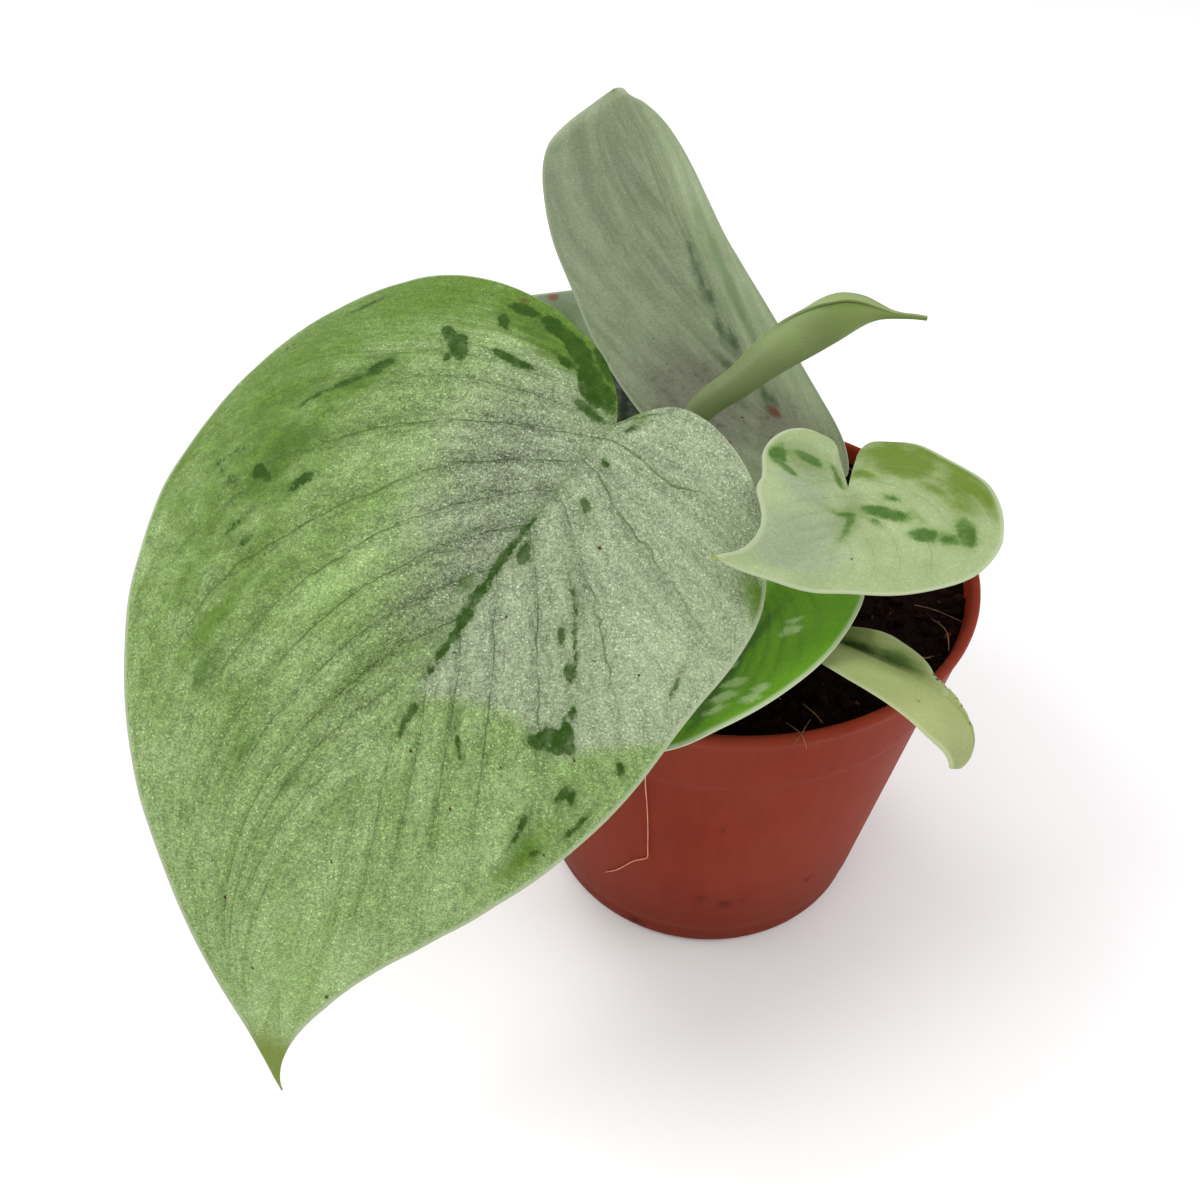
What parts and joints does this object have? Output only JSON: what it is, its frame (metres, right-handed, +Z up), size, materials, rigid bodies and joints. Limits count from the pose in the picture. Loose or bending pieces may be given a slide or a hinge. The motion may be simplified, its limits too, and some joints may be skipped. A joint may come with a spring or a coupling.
{
  "type": "satin pothos in a nursery pot",
  "caption": "Young satin pothos with silvery heart-shaped leaves growing in a small round tapered plastic nursery pot.",
  "frame": {"origin": "centre of the pot's flat underside", "axes": "+Z up along the pot's axis; -Y is the front that the picture looks at, so the largest leaf hangs towards -X and -Y"},
  "size_m": [0.1034, 0.1088, 0.1064],
  "materials": {
    "pot": "matte terracotta brown plastic",
    "soil": "damp crumbly potting soil",
    "stem": "smooth green stem",
    "leaf_silver": "satin silver green",
    "leaf_grey": "satin grey green",
    "leaf_green": "satin deep green",
    "leaf_pale": "satin pale yellow green"
  },
  "bodies": {
    "root": {"pot": "pot", "soil": "soil", "vine_tall": "stem", "vine_short": "stem", "leaf_main": "leaf_silver", "leaf_back": "leaf_grey", "leaf_right": "leaf_silver", "leaf_under": "leaf_green", "leaf_young": "leaf_pale", "leaf_behind": "leaf_grey", "leaf_rolled": "leaf_pale"}
  },
  "joints": []
}
